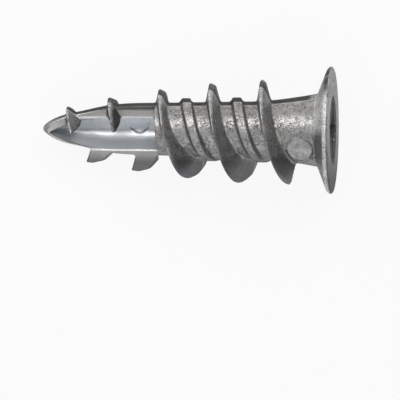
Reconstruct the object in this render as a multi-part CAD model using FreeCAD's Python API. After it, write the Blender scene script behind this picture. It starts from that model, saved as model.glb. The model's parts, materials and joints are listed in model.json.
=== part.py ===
import FreeCAD, Part
import math
import os

V = FreeCAD.Vector

# A self-drilling plasterboard anchor, one zinc die casting.
# Made along X, point at x = 0 and head face at x = length, then laid down as it rests.
# Angles are taken about X from +Y toward +Z; +Z is the way the blade's trough opens.

# Overall sizes, mm
length = 32.0
head_d = 14.0
tube_front_r = 2.90
tube_rear_r = 3.14
collar_r = 4.03
collar_flare = 0.3              # how much of the collar's widening comes late
bore_d = 3.7

# Head flange
flange_h = 1.65
rim_h = 0.60
rim_break = 0.28
face_break = 0.16

# Stations along the axis: the tube's from the point, the collar's from the head face
tube_start = 12.75
collar_l = 7.8
collar_start = length - collar_l

# Blade
cut_height = 0.67               # of the blade's flat edge face over the axis
cut_turn = 16.0                 # of that face about the axis, in degrees
opening_slant = 6.0             # of the line where the tube starts
trough_half_w = 1.72
trough_depth = 1.75
trough_corner_r = 1.35
trough_corner_limit = 0.8
trough_shift = 0.18             # of the trough's middle from the axis
trough_first = 0.067            # where the trough starts, as a share of the blade
trough_full = 0.58              # where it has its full width, as a share of the blade
trough_end_share = 0.06
trough_end_round = 0.85
blade_wall = 0.50

# Cutting thread
lead_length = 5.6
tip_lead_length = 4.7
lead_swing = 1.0                # how unevenly the thread climbs within a turn
swing_turn = -38.0              # where it climbs least
crest_turn = -32.0              # the turn at which stations of the crest are stated
first_crest_x = 13.06
thread_crest_r = 5.70
thread_taper = 3.50
taper_power = 1.75
thread_full_gap = 4.8
lobe_tip = 0.42                 # how much fuller the thread is on one side
lobe_rear = 0.20
lobe_turn = 148.0               # the middle of that side
crest_oval = 0.15               # the mould halves leave the crest slightly oval
oval_turn = -110.0
oval_full_x = 10.0
crest_w_tip = 1.25
crest_w_rear = 0.30
crest_crown = 0.20
crown_limit = 0.3
crown_front = 0.5
crown_rear = 1.3
crest_peak = 0.2
flank_knee = 0.35
crest_growth = 6.3
crest_growth_power = 3.0
crest_thin_tip = 0.75           # share of its width that the crest loses on the trough's side
crest_thin_rear = 0.5
crest_thin_turn = 50.0
flank_front = 13.5              # slopes of the flanks, in degrees
flank_rear = 16.0
fin_flank = 40.0                # of the fins on the blade's upper edge
fin_flank_x = 8.5
fin_flank_blend = 5.0
fin_front = 3.0
fin_front_x = 9.0
fin_front_blend = 2.0
tooth_flank = 44.0              # of the teeth on the blade's lower edge
flank_shift = 9.0               # how far the section leans over, and back, within a turn
flank_shift_turn = 42.0
tooth_lean = -22.0
tooth_sector = 0.7              # cosine of the turn past which the thread is a tooth
tooth_draft = 0.15
tooth_room = 1.5
tooth_growth = 0.058
tooth_gap = 0.1
draft_fill_front = 0.95         # share of the undercut that is filled, flank by flank
draft_fill_rear = 0.20
draft_samples = 8
thread_min_h = 0.12
thread_turns_on_point = 2.2305
thread_end_gap = 4.918
run_in = 90.0                   # degrees over which the thread grows at its start
run_in_share = 0.25
step = 12.0                     # degrees between sections
thread_first = crest_turn - 360.0 * thread_turns_on_point
thread_last = crest_turn + 360.0 * (length - thread_end_gap - first_crest_x) / lead_length
tip_lead_turn = crest_turn - 330.0

# Low ridge between the turns of the thread
ridge_h = 0.46
ridge_top_w = 0.90
ridge_base_w = 1.45
ridge_x = 15.78
ridge_swing = 0.50
ridge_end_gap = 7.244
ridge_fade = 45.0
ridge_sink = 0.02               # of the ridge's foot into the tube
ridge_start_share = 0.2
ridge_first = -95.0
ridge_last = crest_turn + 360.0 * (length - ridge_end_gap - ridge_x) / lead_length

# Cross recess
wing_reach = 3.05
wing_w = 1.25
wing_depth = 2.6
wing_end_reach = 2.1            # of a wing at the floor of the recess
wing_turn = -32.0
wings = 4

# Round marks of the ejector pins
collar_pin_d = 2.9
collar_pin_gap = 3.35
collar_pin_shift = -0.30
collar_pin_drop = 0.14
trough_pin_d = 2.5
trough_pin_gap = 2.3
trough_pin_drop = 0.06

# Fusing and cutting overlaps
root = 0.35                     # how deep the thread is sunk into the tube
blade_root = 0.42               # where it starts in the blade, as a share of the radius
root_blend = 2.0
root_blend_start = 0.75
bore_lead_in = 0.3
over = 1.0                      # how far a cutting tool stands past what it cuts
reach = 12.0                    # of the cutting tools, past the part all round

# How it rests
rest_roll = 15.0                # about the axis, in degrees


def rad(deg):
    return deg * math.pi / 180.0


def blade_points():
    """Outer radius of the point and blade, as stations from the tip to the tube."""
    shares = [(0.0, 0.0), (0.0094, 0.0966), (0.0353, 0.2069), (0.1137, 0.4069),
              (0.2039, 0.5448), (0.3451, 0.6828), (0.4784, 0.8207),
              (0.6510, 0.9414), (0.8235, 0.9862), (1.0, 1.0)]
    return [(a * tube_start, b * tube_front_r) for a, b in shares]


def core_radius(x):
    """Outer radius of the casting without threads at a station on the axis."""
    flange_x = length - flange_h
    if x <= 0.0:
        return 0.0
    if x < tube_start:
        pts = blade_points()
        for (x0, r0), (x1, r1) in zip(pts, pts[1:]):
            if x <= x1:
                return r0 + (r1 - r0) * (x - x0) / (x1 - x0)
    if x < collar_start:
        u = (x - tube_start) / (collar_start - tube_start)
        return tube_front_r + (tube_rear_r - tube_front_r) * u
    u = min(1.0, (x - collar_start) / (flange_x - collar_start))
    return tube_rear_r + (collar_r - tube_rear_r) * ((1.0 - collar_flare) * u + collar_flare * u * u)


def spline(points):
    curve = Part.BSplineCurve()
    curve.interpolate([V(*p) for p in points])
    return curve.toShape()


def line(a, b):
    return Part.makeLine(V(*a), V(*b))


def core():
    """Point, blade, tube, collar and flange turned as one solid round the axis."""
    head_r = head_d / 2.0
    flange_x = length - flange_h
    blade = spline([(x, r, 0) for x, r in blade_points()])
    flare_n = 5
    flare = []
    for i in range(flare_n + 1):
        x = collar_start + (flange_x - collar_start) * i / flare_n
        flare.append((x, core_radius(x), 0))
    cone_top = (length - rim_h, head_r - rim_break, 0)
    rim_low = (length - rim_h + rim_break, head_r, 0)
    rim_top = (length - face_break, head_r, 0)
    face_edge = (length, head_r - face_break, 0)
    edges = [blade, line((tube_start, tube_front_r, 0), (collar_start, tube_rear_r, 0)),
             spline(flare), line(flare[-1], cone_top), line(cone_top, rim_low),
             line(rim_low, rim_top), line(rim_top, face_edge),
             line(face_edge, (length, 0, 0)), line((length, 0, 0), (0, 0, 0))]
    face = Part.Face(Part.Wire(edges))
    return face.revolve(V(0, 0, 0), V(1, 0, 0), 360)


def thread_x(turn):
    """Station of the thread's crest at an angle: steep on one side, flat on the other."""
    swing = lead_swing / (2 * math.pi) * math.sin(rad(turn - swing_turn))
    rise = lead_length * (turn - crest_turn) / 360.0
    if turn < tip_lead_turn:
        rise = lead_length * (tip_lead_turn - crest_turn) / 360.0
        rise += tip_lead_length * (turn - tip_lead_turn) / 360.0
    start = lead_swing / (2 * math.pi) * math.sin(rad(crest_turn - swing_turn))
    return first_crest_x + rise - lead_length * (swing - start)


def thread_share(x):
    """0 where the thread has its full height, and 1 at the point."""
    return max(0.0, 1.0 - x / (length - thread_full_gap))


def thread_r(turn):
    """Crest radius of the thread: tapered to the point, fuller on one side, slightly oval."""
    x = thread_x(turn)
    u = thread_share(x)
    lobe = lobe_rear + (lobe_tip - lobe_rear) * u
    oval = crest_oval * max(0.0, min(1.0, x / oval_full_x))
    r = thread_crest_r - thread_taper * u ** taper_power
    return r + lobe * math.cos(rad(turn - lobe_turn)) - oval * math.cos(rad(2 * (turn - oval_turn)))


def ramp(turn, first, last, fade_in, fade_out):
    """0 at the ends and 1 along the middle, eased over the given angles."""
    a = 1.0 if fade_in <= 0 else min(1.0, (turn - first) / fade_in)
    b = 1.0 if fade_out <= 0 else min(1.0, (last - turn) / fade_out)
    m = max(0.0, min(a, b))
    return math.sin(m * math.pi / 2.0)


def thread_flank(turn, r, crest, way):
    """Station of the flank at an angle and radius, filled against undercut along the pull.

    A flank with no undercut covers the thread that lies further out in the same mould half,
    so it reaches the furthest station of the thread's own section along the line of pull.
    The front flank is filled nearly to there, and the rear flank only a part of the way.
    """
    x = thread_x(turn)
    c = math.cos(rad(turn))
    side = 1.0 if math.sin(rad(turn)) >= 0 else -1.0
    on_blade = c < -tooth_sector and side > 0 and x < tube_start - tooth_room
    lean = flank_shift * math.sin(rad(turn + flank_shift_turn))
    near_tip = max(0.0, min(1.0, (fin_flank_x - x) / fin_flank_blend))
    flank = flank_rear + lean + (fin_flank - flank_rear) * near_tip
    if on_blade:
        flank = tooth_flank
    if way < 0:
        off_point = max(0.0, min(1.0, (x - fin_front_x) / fin_front_blend))
        flank = fin_front + (flank_front - lean - fin_front) * off_point
        flank = tooth_lean if on_blade else flank
    slope = math.tan(rad(flank))
    half = crest_width(turn) / 2.0
    own = x + way * (half + slope * (crest - r))
    if on_blade:
        if way < 0:
            return own - tooth_growth * x
        c = tooth_draft * (c + 1.0) - 1.0
        side = -1.0
    best = own
    for i in range(draft_samples + 1):
        q = r + (crest - r) * i / draft_samples
        bend = math.degrees(math.acos(max(-1.0, min(1.0, c * r / q)))) * side
        there = turn + (bend - turn + 180.0) % 360.0 - 180.0
        at = thread_x(there) + way * (half + slope * (crest - q))
        best = max(best, at) if way > 0 else min(best, at)
    filled = own + (draft_fill_rear if way > 0 else draft_fill_front) * (best - own)
    if on_blade:
        filled = min(filled, tube_start - tooth_gap)
    return filled


def crest_width(turn):
    """Width of the crest: broad on the blade, and narrower on the trough's side."""
    u = thread_share(thread_x(turn))
    grown = min(1.0, crest_growth * (1.0 - u)) ** crest_growth_power
    width = crest_w_rear + (crest_w_tip - crest_w_rear) * u * grown
    thin = crest_thin_rear + (crest_thin_tip - crest_thin_rear) * min(1.0, 2.0 * u)
    return width * (1.0 - thin * max(0.0, math.sin(rad(turn + crest_thin_turn * min(1.0, 2.0 * u)))))


def foot_radius(x):
    """How deep the thread's section is sunk: far into the blade, just into the tube."""
    base = core_radius(x)
    u = max(0.0, min(1.0, (x - tube_start) / root_blend + root_blend_start))
    return base * blade_root + (base - root - base * blade_root) * u


def thread_section(turn):
    """The thread's section at an angle, as (station, radius) points from front to rear."""
    x = thread_x(turn)
    base = core_radius(x)
    full = thread_r(turn) - base
    share = run_in_share + (1.0 - run_in_share) * ramp(turn, thread_first, thread_last, run_in, 0)
    h = max(thread_min_h, full * share)
    crest = base + h
    crown = min(crest_crown, crown_limit * h)
    front = []
    rear = []
    for r in (foot_radius(x), base, base + flank_knee * h):
        front.append((thread_flank(turn, r, crest, -1), r))
        rear.append((thread_flank(turn, r, crest, 1), r))
    front_top = crest - crown_front * crown
    rear_top = crest - crown_rear * crown
    front.append((thread_flank(turn, front_top, crest, -1), front_top))
    rear.append((thread_flank(turn, rear_top, crest, 1), rear_top))
    return front + [(x - crest_peak * crest_width(turn), crest)] + rear[::-1]


def ridge_section(turn):
    """The low ridge's section at an angle, as (station, radius) points."""
    swing = ridge_swing / (2 * math.pi) * math.sin(rad(turn - swing_turn))
    start = ridge_swing / (2 * math.pi) * math.sin(rad(crest_turn - swing_turn))
    x = ridge_x + lead_length * ((turn - crest_turn) / 360.0 - swing + start)
    base = core_radius(x)
    share = ramp(turn, ridge_first, ridge_last, ridge_fade, ridge_fade)
    h = ridge_h * (ridge_start_share + (1.0 - ridge_start_share) * share)
    top = ridge_top_w / 2.0
    foot = ridge_base_w / 2.0
    low = base - ridge_sink
    return [(x - foot, base - root), (x - foot, low), (x - top, base + h),
            (x + top, base + h), (x + foot, low), (x + foot, base - root)]


def wound(section, first, last):
    """A solid wound round the axis through sections taken at equal steps of angle."""
    n = int(math.ceil((last - first) / step))
    turns = [first + (last - first) * i / n for i in range(n + 1)]
    rows = []
    for t in turns:
        c, s = math.cos(rad(t)), math.sin(rad(t))
        rows.append([V(x, r * c, r * s) for x, r in section(t)])
    rails = []
    for k in range(len(rows[0])):
        curve = Part.BSplineCurve()
        curve.interpolate(Points=[row[k] for row in rows], Parameters=turns)
        rails.append(curve.toShape())
    faces = []
    for k in range(len(rails)):
        faces.append(Part.makeRuledSurface(rails[k], rails[(k + 1) % len(rails)], 1))
    for row in (rows[0], rows[-1]):
        faces.append(Part.Face(Part.makePolygon(row + [row[0]])))
    shell = Part.Shell(faces)
    shell.sewShape()
    solid = Part.makeSolid(shell)
    if solid.Volume < 0:
        solid.reverse()
    return solid


def winding(section, first, last):
    """The wound solid in lengths of at most one turn, each ending where the next begins."""
    n = int(math.ceil((last - first) / 360.0))
    ends = [first + (last - first) * i / n for i in range(n + 1)]
    return [wound(section, a, b) for a, b in zip(ends, ends[1:])]


def opening_plan():
    """Plan of the blade's length, ended on a slant where the tube starts."""
    slant = math.tan(rad(opening_slant)) * reach
    pts = [V(-over, -reach, 0), V(tube_start + slant, -reach, 0),
           V(tube_start - slant, reach, 0), V(-over, reach, 0)]
    return Part.Face(Part.makePolygon(pts + [pts[0]]))


def above_cut():
    """The room in front of the blade's flat edge face, up to the start of the tube."""
    box = Part.makeBox(length, 4 * reach, 2 * reach, V(-over, -2 * reach, cut_height))
    box.rotate(V(0, 0, 0), V(1, 0, 0), -cut_turn)
    plan = opening_plan()
    plan.translate(V(0, 0, -reach))
    return plan.extrude(V(0, 0, 2 * reach)).common(box)


def trough_stations():
    """Half width of the trough in plan, as stations from its closed end to the tube."""
    full_x = trough_full * tube_start
    first_x = trough_first * tube_start
    steps = 9
    rim = []
    for i in range(steps + 1):
        u = i / steps
        x = first_x + (full_x - first_x) * u * (0.6 + 0.4 * u)
        v = (x - first_x) / (full_x - first_x)
        share = math.sin(v * math.pi / 2.0) ** trough_end_round
        rim.append((x, trough_half_w * (trough_end_share + (1.0 - trough_end_share) * share)))
    return rim + [(tube_start + 2 * over, trough_half_w)]


def trough_section(x, w):
    """Closed outline of the trough across the axis: flat floor, round corners, straight sides."""
    depth = min(trough_depth, core_radius(min(x, tube_start)) - blade_wall)
    c = min(trough_corner_r, trough_corner_limit * w, trough_corner_limit * depth)
    k = c * (1.0 - math.sqrt(0.5))
    low = -depth
    top = reach / 2.0
    left, right = -w - trough_shift, w - trough_shift
    arc_l = Part.Arc(V(x, left, low + c), V(x, left + k, low + k), V(x, left + c, low))
    arc_r = Part.Arc(V(x, right - c, low), V(x, right - k, low + k), V(x, right, low + c))
    return Part.Wire([line((x, left, top), (x, left, low + c)), arc_l.toShape(),
                      line((x, left + c, low), (x, right - c, low)), arc_r.toShape(),
                      line((x, right, low + c), (x, right, top)),
                      line((x, right, top), (x, left, top))])


def trough_tool():
    """The trough, drawn out of the mould along +Z and ended with the blade."""
    body = Part.makeLoft([trough_section(x, w) for x, w in trough_stations()], True, True)
    if body.Volume < 0:
        body.reverse()
    plan = opening_plan()
    plan.translate(V(0, 0, -reach))
    return body.common(plan.extrude(V(0, 0, 2 * reach)))


def thread_clear():
    """The room in front of the blade where the mould leaves no thread."""
    rim = [V(x, w - trough_shift, 0) for x, w in trough_stations()]
    end_x = rim[-1].x
    pts = [V(-over, rim[0].y, 0)] + rim + [V(end_x, -reach, 0), V(-over, -reach, 0)]
    plan = Part.Face(Part.makePolygon(pts + [pts[0]]))
    plan.translate(V(0, 0, -reach / 2.0))
    return plan.extrude(V(0, 0, 1.5 * reach)).common(above_cut())


def wing_tool():
    """One wing of the cross recess, wedge shaped in side view."""
    pts = [V(length + over, 0, 0), V(length + over, wing_reach, 0), V(length, wing_reach, 0),
           V(length - wing_depth, wing_end_reach, 0), V(length - wing_depth, 0, 0)]
    face = Part.Face(Part.makePolygon(pts + [pts[0]]))
    tool = face.extrude(V(0, 0, wing_w))
    tool.translate(V(0, 0, -wing_w / 2.0))
    return tool


def recess():
    """Screw bore and the four wings of the cross."""
    bore = Part.makeCylinder(bore_d / 2.0, length, V(tube_start - bore_lead_in, 0, 0), V(1, 0, 0))
    tools = []
    for i in range(wings):
        wing = wing_tool()
        wing.rotate(V(0, 0, 0), V(1, 0, 0), wing_turn + 360.0 * i / wings)
        tools.append(wing)
    return bore.multiFuse(tools)


def pin_marks(body):
    """Flat round marks left by the ejector pins, on the collar and in the trough."""
    pad_x = length - collar_pin_gap
    level = core_radius(pad_x) - collar_pin_drop
    foot = (level + bore_d / 2.0) / 2.0
    pad_r = collar_pin_d / 2.0
    pad = Part.makeCylinder(pad_r, level - foot, V(pad_x, collar_pin_shift, foot), V(0, 0, 1))
    clear = Part.makeCylinder(pad_r, reach, V(pad_x, collar_pin_shift, level), V(0, 0, 1))
    body = body.fuse(pad).cut(clear)
    mark_at = V(tube_start - trough_pin_gap, -trough_shift, -trough_depth - trough_pin_drop)
    return body.cut(Part.makeCylinder(trough_pin_d / 2.0, trough_depth, mark_at, V(0, 0, 1)))


def casting():
    clear = thread_clear()
    thread = [turn.cut(clear) for turn in winding(thread_section, thread_first, thread_last)]
    ridge = winding(ridge_section, ridge_first, ridge_last)
    body = core().cut(above_cut())
    body = body.multiFuse(thread + ridge)
    body = body.cut(trough_tool()).cut(recess())
    return pin_marks(body)


def rest_tilt():
    """Angle of the axis when rim and thread both touch the floor."""
    rim_x = length - face_break
    rim_r = head_d / 2.0
    best = math.pi / 2
    t = thread_first
    while t <= thread_last:
        x, r = max(thread_section(t), key=lambda point: point[1])
        z = r * math.sin(rad(t + rest_roll))
        if x < rim_x - 1.0:
            best = min(best, math.atan2(rim_r + z, rim_x - x))
        t += 2.0
    return math.degrees(best)


def laid_down(shape):
    """Roll, tilt and lower the casting as it comes to rest, centred over the origin."""
    shape.rotate(V(0, 0, 0), V(1, 0, 0), rest_roll)
    shape.rotate(V(0, 0, 0), V(0, 1, 0), -rest_tilt())
    box = shape.optimalBoundingBox(False)
    shape.translate(V(-(box.XMin + box.XMax) / 2, -(box.YMin + box.YMax) / 2, -box.ZMin))
    return shape


os.makedirs("parts", exist_ok=True)
anchor = laid_down(casting())
if anchor.ShapeType == "Compound" and len(anchor.Solids) == 1:
    anchor = anchor.Solids[0]
anchor.exportStep("parts/anchor_body.step")
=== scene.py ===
import json
import math
import bpy
from mathutils import Matrix, Vector

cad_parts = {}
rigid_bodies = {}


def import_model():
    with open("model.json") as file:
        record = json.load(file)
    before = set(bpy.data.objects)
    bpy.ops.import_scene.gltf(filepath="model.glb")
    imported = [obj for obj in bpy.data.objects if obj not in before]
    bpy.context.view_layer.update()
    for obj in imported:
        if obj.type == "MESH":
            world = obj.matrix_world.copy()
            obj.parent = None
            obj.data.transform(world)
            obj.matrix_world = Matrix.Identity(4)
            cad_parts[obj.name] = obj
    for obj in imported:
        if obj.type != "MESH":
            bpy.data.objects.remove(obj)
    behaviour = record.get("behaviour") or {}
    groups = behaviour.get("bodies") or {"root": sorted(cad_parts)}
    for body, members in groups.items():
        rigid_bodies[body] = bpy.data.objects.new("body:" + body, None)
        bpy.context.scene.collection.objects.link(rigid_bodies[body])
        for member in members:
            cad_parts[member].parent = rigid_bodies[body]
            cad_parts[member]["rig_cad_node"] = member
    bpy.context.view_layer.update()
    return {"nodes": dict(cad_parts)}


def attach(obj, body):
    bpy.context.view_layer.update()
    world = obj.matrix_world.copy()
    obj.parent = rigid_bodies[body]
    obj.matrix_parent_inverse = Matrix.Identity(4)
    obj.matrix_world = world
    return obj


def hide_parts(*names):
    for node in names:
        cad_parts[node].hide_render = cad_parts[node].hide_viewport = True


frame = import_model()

# The photograph's camera
# The anchor lies on its flange rim and its thread, with the blade's trough turned up.
# Its own axis runs from the drill point to the head, and the camera looks nearly square on to it.
MM = 0.001
anchor_length = 32.0
anchor_roll = math.radians(15.0)           # turned about its axis to the roll where it rests
anchor_tilt = math.radians(7.95083)        # the head stands higher than the point
point_place = Vector((-16.31926, 0.0, 2.55063)) * MM
rolled = Matrix.Rotation(anchor_roll, 4, "X")
laid = Matrix.Translation(point_place) @ Matrix.Rotation(-anchor_tilt, 4, "Y") @ rolled
head_middle = laid @ (Vector((anchor_length, 0.0, 0.0)) * MM)
anchor_middle = laid @ (Vector((anchor_length / 2, 0.0, 0.0)) * MM)

camera_turn = math.radians(58.0)           # round the axis, from the parting plane
camera_yaw = math.radians(5.9)             # toward the head
camera_lean = math.radians(0.4)            # the axis sinks to the right
camera_distance = 2.0
picture_size = 400.0                       # pixels each way
picture_scale = 9.12                       # pixels to a millimetre at the axis
head_pixel = (333.0, 130.3)
sensor_width = 36.0

turn = laid.to_3x3()
facing = turn @ Vector((0.0, math.cos(camera_turn), math.sin(camera_turn)))
picture_up = turn @ Vector((0.0, math.sin(camera_turn), -math.cos(camera_turn)))
along = turn @ Vector((1.0, 0.0, 0.0))
toward = facing * math.cos(camera_yaw) + along * math.sin(camera_yaw)
right = along * math.cos(camera_yaw) - facing * math.sin(camera_yaw)
level_right = right * math.cos(camera_lean) + picture_up * math.sin(camera_lean)
level_up = picture_up * math.cos(camera_lean) - right * math.sin(camera_lean)

head_right = (head_pixel[0] - picture_size / 2) / picture_scale * MM
head_above = (picture_size / 2 - head_pixel[1]) / picture_scale * MM
target = head_middle - level_right * head_right - level_up * head_above
place = anchor_middle + toward * camera_distance
back = (place - target).normalized()
side = level_up.cross(back).normalized()
camera_turned = Matrix((side, back.cross(side), back)).transposed().to_4x4()
bpy.ops.object.select_all(action="DESELECT")
bpy.ops.object.camera_add(location=place, rotation=camera_turned.to_euler())
camera = bpy.context.object
camera.name = "camera"
camera.data.sensor_width = sensor_width
camera.data.lens = sensor_width * (place - target).length / (picture_size / picture_scale * MM)
camera.data.clip_start = 0.01
camera.data.clip_end = 10.0
bpy.context.scene.camera = camera
bpy.context.scene.view_settings.view_transform = "Standard"

# Studio floor
# A plain pale sheet of matt board, which the anchor lies on.
# It shows almost white, and keeps the anchor's own soft shadow.
floor_width = 1.6
board_grey = (0.90, 0.90, 0.90, 1.0)
shown_white = 0.90                         # share of plain white where the board is seen
bpy.ops.object.select_all(action="DESELECT")
bpy.ops.mesh.primitive_plane_add(size=floor_width, location=(0.0, 0.0, 0.0))
floor = bpy.context.object
floor.name = "floor"
board = bpy.data.materials.new("matt_board")
board.use_nodes = True
nodes, links = board.node_tree.nodes, board.node_tree.links
nodes.clear()


def reckon(operation, first, second=0.0):
    """Two values, or a value and a number, through one sum."""
    node = nodes.new("ShaderNodeMath")
    node.operation = operation
    for socket, part in zip(node.inputs, (first, second)):
        if isinstance(part, float):
            socket.default_value = part
        else:
            links.new(part, socket)
    return node.outputs[0]


def largest(*parts):
    """The largest of some values."""
    result = parts[0]
    for part in parts[1:]:
        result = reckon("MAXIMUM", result, part)
    return result


def product(*parts):
    """Some values multiplied, so that a share counts only where all the others do."""
    result = parts[0]
    for part in parts[1:]:
        result = reckon("MULTIPLY", result, part)
    return result


board_out = nodes.new("ShaderNodeOutputMaterial")
board_face = nodes.new("ShaderNodeBsdfDiffuse")
board_face.inputs["Color"].default_value = board_grey
board_white = nodes.new("ShaderNodeEmission")
board_white.inputs["Color"].default_value = (1.0, 1.0, 1.0, 1.0)
board_white.inputs["Strength"].default_value = 1.0
seen = nodes.new("ShaderNodeLightPath")
seen_any = largest(*(seen.outputs[f"Is {kind} Ray"] for kind in ("Camera", "Glossy", "Transmission")))
board_mix = nodes.new("ShaderNodeMixShader")
links.new(product(seen_any, shown_white), board_mix.inputs["Fac"])
links.new(board_face.outputs[0], board_mix.inputs[1])
links.new(board_white.outputs[0], board_mix.inputs[2])
links.new(board_mix.outputs[0], board_out.inputs["Surface"])
floor.data.materials.append(board)

# Studio light
# Large soft boxes: the main one stands past the picture's upper edge, one hangs overhead, and a
# weak one stands by the camera. The room round them is a plain grey.
room_grey = (0.20, 0.205, 0.215, 1.0)
room = bpy.data.worlds.new("room")
bpy.context.scene.world = room
room.use_nodes = True
room.node_tree.nodes["Background"].inputs["Color"].default_value = room_grey
room.node_tree.nodes["Background"].inputs["Strength"].default_value = 1.0


def soft_box(name, degrees_up, distance, width, height, power):
    """A soft box that faces the anchor, so many degrees toward the picture's top from the camera."""
    rise = math.radians(degrees_up)
    aim = facing * math.cos(rise) + picture_up * math.sin(rise)
    bpy.ops.object.select_all(action="DESELECT")
    bpy.ops.object.light_add(type="AREA", location=anchor_middle + aim * distance)
    lamp = bpy.context.object
    lamp.name = name
    lamp.data.shape = "RECTANGLE"
    lamp.data.size = width
    lamp.data.size_y = height
    lamp.data.energy = power
    lamp_side = (along - aim * along.dot(aim)).normalized()
    lamp.rotation_euler = Matrix((lamp_side, aim.cross(lamp_side), aim)).transposed().to_euler()


soft_box("main_box", degrees_up=30.0, distance=0.32, width=0.50, height=0.16, power=0.80)
soft_box("upper_box", degrees_up=-55.0, distance=0.40, width=0.50, height=0.46, power=0.50)
soft_box("front_box", degrees_up=-8.0, distance=0.90, width=0.60, height=0.52, power=0.34)

# The casting
# One die casting of bright zinc alloy, from the drill point to the countersunk flange. It comes
# out of a two-part mould, so its edges are softly rounded and its skin is slightly uneven. The
# drilling edges and the thread's crest are rubbed bright.
weld = 0.002 * MM
grain = 0.105 * MM                         # the finest detail that the mesh keeps
faces_kept = 92000.0
wave = 0.55 * MM                           # length and height of the skin's unevenness
wave_height = 0.022 * MM
cad_body = frame["nodes"]["anchor_body"]
bpy.ops.object.select_all(action="DESELECT")
cad_body.select_set(True)
bpy.context.view_layer.objects.active = cad_body
bpy.ops.object.duplicate()
casting = bpy.context.object
casting.name = "anchor_casting"
casting.parent = None
del casting["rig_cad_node"]
casting.data.materials.clear()
bpy.ops.object.mode_set(mode="EDIT")
bpy.ops.mesh.select_all(action="SELECT")
bpy.ops.mesh.remove_doubles(threshold=weld)
bpy.ops.object.mode_set(mode="OBJECT")

skin = casting.modifiers.new("skin", "REMESH")
skin.mode = "VOXEL"
skin.voxel_size = grain
bpy.ops.object.modifier_apply(modifier="skin")
rounded = casting.modifiers.new("rounded", "SMOOTH")
rounded.factor = 0.5
rounded.iterations = 2
bpy.ops.object.modifier_apply(modifier="rounded")
lighter = casting.modifiers.new("lighter", "DECIMATE")
lighter.ratio = min(1.0, faces_kept / len(casting.data.polygons))
bpy.ops.object.modifier_apply(modifier="lighter")
uneven = bpy.data.textures.new("uneven_skin", "CLOUDS")
uneven.noise_scale = wave
uneven.noise_depth = 2
swell = casting.modifiers.new("swell", "DISPLACE")
swell.texture = uneven
swell.texture_coords = "LOCAL"
swell.mid_level = 0.62                     # more in than out, so that it stays within the casting
swell.strength = wave_height
bpy.ops.object.modifier_apply(modifier="swell")
bpy.ops.object.shade_smooth()

zinc = bpy.data.materials.new("bright_zinc")
zinc.use_nodes = True
nodes, links = zinc.node_tree.nodes, zinc.node_tree.links
nodes.clear()
zinc_out = nodes.new("ShaderNodeOutputMaterial")
metal = nodes.new("ShaderNodeBsdfPrincipled")
metal.inputs["Specular Tint"].default_value = (0.4, 0.4, 0.4, 1.0)    # dull where seen at a glance
links.new(metal.outputs["BSDF"], zinc_out.inputs["Surface"])
coords = nodes.new("ShaderNodeTexCoord")
upright = nodes.new("ShaderNodeMapping")       # millimetres along the anchor's own axes
upright.vector_type = "TEXTURE"
upright.inputs["Location"].default_value = point_place
upright.inputs["Rotation"].default_value = (anchor_roll, -anchor_tilt, 0.0)
upright.inputs["Scale"].default_value = (MM, MM, MM)
links.new(coords.outputs["Object"], upright.inputs["Vector"])


def noise(waves, detail, rough=0.5):
    """A cloudy pattern with that many waves to a millimetre."""
    node = nodes.new("ShaderNodeTexNoise")
    node.inputs["Scale"].default_value = waves
    node.inputs["Detail"].default_value = detail
    node.inputs["Roughness"].default_value = rough
    links.new(upright.outputs["Vector"], node.inputs["Vector"])
    return node


def ramp(value, start, end, at_start=0.0, at_end=1.0):
    """A value spread from one range to another, and held at its ends."""
    node = nodes.new("ShaderNodeMapRange")
    links.new(value, node.inputs["Value"])
    sockets = ("From Min", "From Max", "To Min", "To Max")
    for socket, number in zip(sockets, (start, end, at_start, at_end)):
        node.inputs[socket].default_value = number
    return node.outputs["Result"]


def cloudy(waves, detail, start, end, at_start=0.0, at_end=1.0, rough=0.5):
    """A cloudy pattern, ramped."""
    return ramp(noise(waves, detail, rough).outputs["Fac"], start, end, at_start, at_end)


def away(value, place):
    """How far a value is from a place, either way."""
    return reckon("ABSOLUTE", reckon("SUBTRACT", value, place))


def outside(share):
    """What a share leaves."""
    return reckon("SUBTRACT", 1.0, share)


def toward_turn(degrees):
    """How far a point lies from the axis in one direction across it."""
    by_side = product(sideways, math.cos(math.radians(degrees)))
    return reckon("ADD", by_side, product(pull, math.sin(math.radians(degrees))))


def tint(first, second, *shares):
    """A colour turned into another as far as the shares go."""
    node = nodes.new("ShaderNodeMix")
    node.data_type = "RGBA"
    links.new(product(*shares), node.inputs["Factor"])
    for name, part in (("A", first), ("B", second)):
        socket = [i for i in node.inputs if i.name == name and i.type == "RGBA"][0]
        if isinstance(part, tuple):
            socket.default_value = (*part, 1.0)
        else:
            links.new(part, socket)
    return [o for o in node.outputs if o.type == "RGBA"][0]


# where a point of the skin lies: station from the drill point, side and height in the mould,
# radius, and how far it is from the thread's broad lobes, from the recess's wing and from the
# flat face of the blade
lobes_turn = -32.0                         # opposite the lobes, in degrees about the axis
wing_turn = 58.0
blade_turn = 74.0                          # square to the blade's flat face
blade_height = 0.67                        # of that face over the axis
axes = nodes.new("ShaderNodeSeparateXYZ")
links.new(upright.outputs["Vector"], axes.inputs[0])
station, sideways, pull = axes.outputs
radius = reckon("SQRT", reckon("ADD", product(sideways, sideways), product(pull, pull)))
off_lobes = toward_turn(lobes_turn)
off_wing = toward_turn(wing_turn)
above_cut = reckon("SUBTRACT", toward_turn(blade_turn), blade_height)

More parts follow.
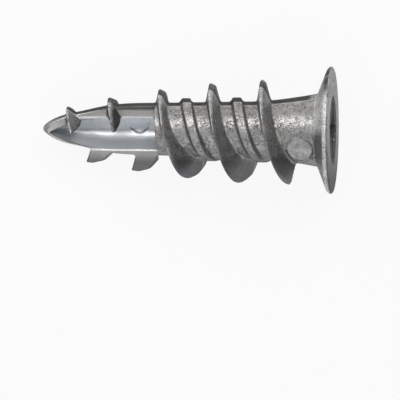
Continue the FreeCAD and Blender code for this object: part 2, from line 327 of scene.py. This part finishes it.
# the core of point, tube and collar, as radius by station, and how far the skin stands out of it
core = ((0.45, 0.55), (1.44, 1.2), (4.42, 2.0), (8.32, 2.75), (12.8, 2.9), (24.2, 3.15), (30.34, 4.05))
end_radius = 4.3
full_radius = 5.0
profile = nodes.new("ShaderNodeValToRGB")
links.new(reckon("DIVIDE", station, anchor_length), profile.inputs["Fac"])
stops = profile.color_ramp.elements
stops[0].color = (0.0, 0.0, 0.0, 1.0)
stops[1].color = (*[end_radius / full_radius] * 3, 1.0)
for at, core_radius in core:
    stops.new(at / anchor_length).color = (*[core_radius / full_radius] * 3, 1.0)
stands_out = reckon("SUBTRACT", radius, product(profile.outputs["Color"], full_radius))

# thread, its crest and its lobes
before_head = ramp(station, 29.8, 29.4)
on_thread = product(ramp(stands_out, 0.50, 0.75), before_head)
taper = ramp(station, 27.2, 0.0)
slack = product(reckon("DIVIDE", off_lobes, radius), ramp(taper, 0.0, 1.0, 0.20, 0.42))
full_crest = reckon("SUBTRACT", 5.70, product(reckon("POWER", taper, 1.75), 3.50))
below_crest = reckon("SUBTRACT", reckon("SUBTRACT", full_crest, slack), radius)
on_crest = product(ramp(below_crest, 0.22, 0.05), before_head, ramp(stands_out, 0.3, 0.5))
on_lobe = product(ramp(stands_out, 0.05, 0.20), before_head, ramp(off_lobes, -2.7, -3.6))
on_last_lobe = product(on_lobe, ramp(station, 22.5, 24.0))

# blade: trough, flat face, its lips, fins and the two drilling edges at the point
trough_middle = -0.18
before_tube = ramp(station, 12.8, 12.5)
off_middle = away(sideways, trough_middle)
in_trough = product(ramp(off_middle, 1.80, 1.74), before_tube, ramp(stands_out, -0.15, -0.22))
in_trough = product(in_trough, ramp(above_cut, -0.02, -0.08))
# where the trough's painted highlight and painted reflected light go
far_corner = ramp(sideways, -1.15, -1.55)
far_wall = ramp(sideways, -1.1, -1.6)
on_fin = product(ramp(above_cut, 0.05, 0.12), ramp(station, 12.4, 12.2))
on_cut = product(ramp(away(above_cut, 0.0), 0.10, 0.05), before_tube)
on_lip = product(on_cut, ramp(away(off_middle, 1.78), 0.15, 0.08))
near_point = product(on_cut, ramp(station, 2.6, 1.2))

# the lower mould half's side, just past the parting line, painted darker where the skin reflects
# darkly: painted shade
painted_shade_past_parting = product(ramp(pull, 0.02, -0.04), ramp(pull, -3.4, -1.2), before_head, outside(in_trough))

# flange: its cone, its rim, the head face and the dark ring round the cross recess, with painted
# highlights on the cone and rim land, and painted shade at the rim's far end and in and round the
# recess
beyond_collar = ramp(station, 30.15, 30.35)
# the flange cone's lit side, where a painted highlight goes
cone_painted_highlight = product(ramp(off_lobes, -0.8, 0.2), ramp(off_lobes, 4.2, 3.0))
# where the collar's highlight runs on into the flange: made matt below, so that the lamps light it as
# a painted highlight
cone_root = product(ramp(station, 30.2, 30.35), ramp(station, 31.3, 30.8))
cone_root = product(cone_root, ramp(off_lobes, 0.1, 0.9), ramp(off_lobes, 2.7, 1.6))
from_rim = product(ramp(station, 31.3, 31.45), ramp(off_lobes, 4.6, 3.6))
on_rim = product(from_rim, ramp(station, 31.84, 31.78))
rim_end = product(ramp(station, 31.15, 31.35), ramp(off_lobes, 4.0, 5.2))
on_face = ramp(station, 31.80, 31.88)
beside_wing = reckon("MINIMUM", away(off_wing, 0.0), away(off_lobes, 0.0))
off_recess = largest(reckon("DIVIDE", beside_wing, 1.5), reckon("DIVIDE", radius, 3.4))
off_recess = reckon("MINIMUM", off_recess, reckon("DIVIDE", radius, 2.4))
ragged = reckon("ADD", off_recess, product(noise(1.2, 4.0).outputs["Fac"], 1.2))
in_recess = product(ramp(station, 28.8, 29.0), ramp(stands_out, -0.4, -0.6))
# dark marks round the cross recess, partly painted shade of the recess, and painted shade inside it
recess_shade_and_marks = largest(product(on_face, ramp(ragged, 1.95, 1.35)), in_recess)
specks = product(on_face, cloudy(2.0, 4.0, 0.50, 0.64))

# wrinkles where the metal met as it froze: thin broken lines, fewer on plain rubbed places
pad_station = 28.65                        # middle of the round pin mark on the collar
pad_side = -0.30
drift = noise(1.7, 4.0)
drift_by = nodes.new("ShaderNodeVectorMath")
drift_by.operation = "MULTIPLY_ADD"
links.new(drift.outputs["Color"], drift_by.inputs[0])
drift_by.inputs[1].default_value = (1.4, 1.4, 1.4)
links.new(upright.outputs["Vector"], drift_by.inputs[2])


def crackle(cells_per_mm, width, end):
    """Thin lines between drifting cells."""
    cells = nodes.new("ShaderNodeTexVoronoi")
    cells.feature = "DISTANCE_TO_EDGE"
    cells.inputs["Scale"].default_value = cells_per_mm
    links.new(drift_by.outputs[0], cells.inputs["Vector"])
    return ramp(cells.outputs["Distance"], end, width)


coarse_line = product(crackle(1.5, 0.01, 0.055), cloudy(0.55, 3.0, 0.46, 0.62))
fine_line = product(crackle(2.9, 0.02, 0.09), cloudy(1.3, 3.0, 0.40, 0.50))
along_pad = reckon("SUBTRACT", station, pad_station)
beside_pad = reckon("SUBTRACT", sideways, pad_side)
from_pad = reckon("ADD", product(along_pad, along_pad), product(beside_pad, beside_pad))
on_pad = product(ramp(from_pad, 1.90, 2.15, 0.5, 0.0), ramp(pull, 2.8, 3.2))
crackled = outside(largest(in_trough, on_pad, on_cut, product(on_lobe, 0.7)))
wrinkle = product(largest(coarse_line, product(fine_line, 0.75)), crackled)

# fine pits, which break up the shine
pits = product(cloudy(5.5, 3.0, 0.46, 0.38, rough=0.7), cloudy(0.8, 2.0, 0.35, 0.55), crackled)

# the parting line, a rubbed hairline of flash, painted brighter as well as a painted highlight along
# its edge
at_corner = product(before_tube, ramp(above_cut, -0.35, -0.20))
parting = product(ramp(away(pull, 0.0), 0.15, 0.08), ramp(away(sideways, 0.0), 2.1, 2.2))
parting = product(parting, outside(largest(on_face, at_corner)))

# rubbed edges, and painted shade in the hollows
shape = nodes.new("ShaderNodeNewGeometry")
sharp = ramp(shape.outputs["Pointiness"], 0.56, 0.63)
hollow = ramp(shape.outputs["Pointiness"], 0.465, 0.40)
blade_corner = product(ramp(above_cut, -0.3, -0.1), ramp(off_lobes, 2.2, 1.8))
rubbed = largest(ramp(stands_out, 0.08, 0.2), beyond_collar, blade_corner)
edge = product(sharp, rubbed, outside(product(largest(on_fin, on_lobe), 0.8)))

# colour of each region, the later ones laid over the earlier
rubbed_bright = (0.62, 0.61, 0.60)
pit_dark_and_recess_shade = (0.12, 0.118, 0.115)
cloud = cloudy(0.9, 5.0, 0.35, 0.65)
skin_tone = tint((0.43, 0.42, 0.41), (0.53, 0.52, 0.51), cloud)
# painted light: the trough lighter and bluer than the skin, and near white toward its far corner and
# wall, as a painted highlight and painted reflected light
trough_tone = tint((0.48, 0.505, 0.535), (0.56, 0.585, 0.615), cloud)
trough_tone = tint(trough_tone, (1.0, 1.0, 1.0), far_corner)
trough_tone = tint(trough_tone, (0.96, 0.98, 1.0), far_wall)
tone = tint(skin_tone, trough_tone, in_trough)
# painted shade: the thread a little darker than the skin
tone = tint(tone, (0.16, 0.16, 0.162), on_thread, 0.12)
# painted shade: the fins on the blade darker
tone = tint(tone, (0.24, 0.237, 0.232), on_fin)
# painted shade: the blade's flat face a little darker
tone = tint(tone, (0.33, 0.325, 0.32), on_cut, 0.35)
tone = tint(tone, (0.78, 0.78, 0.77), on_crest, cloudy(3.2, 2.0, 0.40, 0.52, 0.15, 1.0))
tone = tint(tone, (0.60, 0.59, 0.58), near_point)
# painted highlight: the trough's lips on the flat face near white
tone = tint(tone, (0.85, 0.85, 0.85), on_lip)
# painted shade: the thread's broad lobes darker, and the last lobe less dark
tone = tint(tone, (0.185, 0.185, 0.192), on_lobe)
tone = tint(tone, (0.25, 0.25, 0.257), on_last_lobe)
# painted highlight: the flange cone's lit side near white
tone = tint(tone, (0.95, 0.94, 0.92), beyond_collar, cone_painted_highlight)
# painted highlight: the rim land near white on its lit side
tone = tint(tone, (0.97, 0.96, 0.94), from_rim, 0.8)
# painted shade: the rim land dark toward its far end
tone = tint(tone, (0.07, 0.068, 0.065), rim_end, 0.9)
tone = tint(tone, rubbed_bright, on_face)
# painted shade: the head face darker toward its lower side
tone = tint(tone, (0.17, 0.168, 0.165), on_face, ramp(off_lobes, 2.0, -5.5))
# painted shade and dark marks in and round the cross recess
tone = tint(tone, pit_dark_and_recess_shade, recess_shade_and_marks)
tone = tint(tone, (0.16, 0.157, 0.152), specks, 0.55)
# painted shade: a darker tone on the lower mould half's side past the parting line
tone = tint(tone, (0.125, 0.122, 0.118), painted_shade_past_parting)
tone = tint(tone, (0.045, 0.043, 0.040), wrinkle, 0.9)
tone = tint(tone, pit_dark_and_recess_shade, pits, 0.6)
# rubbed flash and painted highlight along the parting line
tone = tint(tone, rubbed_bright, parting, 0.7)
tone = tint(tone, (0.62, 0.62, 0.62), edge, cloudy(1.9, 3.0, 0.35, 0.6, 0.35, 1.0))
# painted shade in the hollows, weaker in the trough
tone = tint(tone, (0.10, 0.098, 0.095), hollow, reckon("SUBTRACT", 0.55, product(in_trough, 0.4)))
links.new(tone, metal.inputs["Base Color"])

# the head face's dark ring and darker lower half (painted shade and marks), and a matt share that lets
# the lamps lift places which reflect darkly (painted light), dull the metal
face_shade_and_marks = largest(recess_shade_and_marks, product(on_face, ramp(off_lobes, 2.0, -5.5, 0.35, 0.8)))
matt_for_painted_light = largest(
    product(beyond_collar, ramp(cone_painted_highlight, 0.0, 1.0, 0.22, 0.70), outside(on_face)),
    product(on_thread, ramp(on_crest, 0.0, 1.0, 0.16, 0.34)),
    product(cone_root, 0.95),
    product(on_rim, 0.75),
    product(outside(painted_shade_past_parting), 0.09),
    product(in_trough, ramp(sideways, -1.1, -1.5, 0.0, 0.22)),
    product(in_trough, ramp(station, 8.5, 4.5, 0.0, 0.42)))
links.new(outside(largest(face_shade_and_marks, matt_for_painted_light)), metal.inputs["Metallic"])
dull = reckon("ADD", cloudy(1.7, 4.0, 0.3, 0.7, 0.28, 0.40), product(wrinkle, 0.2))
dull = largest(dull, product(face_shade_and_marks, 0.8), product(in_trough, 0.37))
links.new(dull, metal.inputs["Roughness"])

# orange peel, smoother in the trough and on the lobes and fins
peel_depth = 0.05 * MM
peel = product(noise(2.4, 4.0, 0.6).outputs["Fac"], 0.6)
fine_peel = product(noise(6.5, 3.0, 0.65).outputs["Fac"], 0.9)
height = reckon("SUBTRACT", reckon("ADD", peel, fine_peel), product(wrinkle, 0.5))
height = reckon("ADD", height, product(parting, 0.8))
smooth = largest(product(in_trough, 0.85), product(largest(on_lobe, on_fin), 0.6))
bump = nodes.new("ShaderNodeBump")
links.new(product(outside(smooth), 0.6), bump.inputs["Strength"])
bump.inputs["Distance"].default_value = peel_depth
links.new(height, bump.inputs["Height"])
links.new(bump.outputs["Normal"], metal.inputs["Normal"])

casting.data.materials.append(zinc)
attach(casting, "root")
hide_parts("anchor_body")
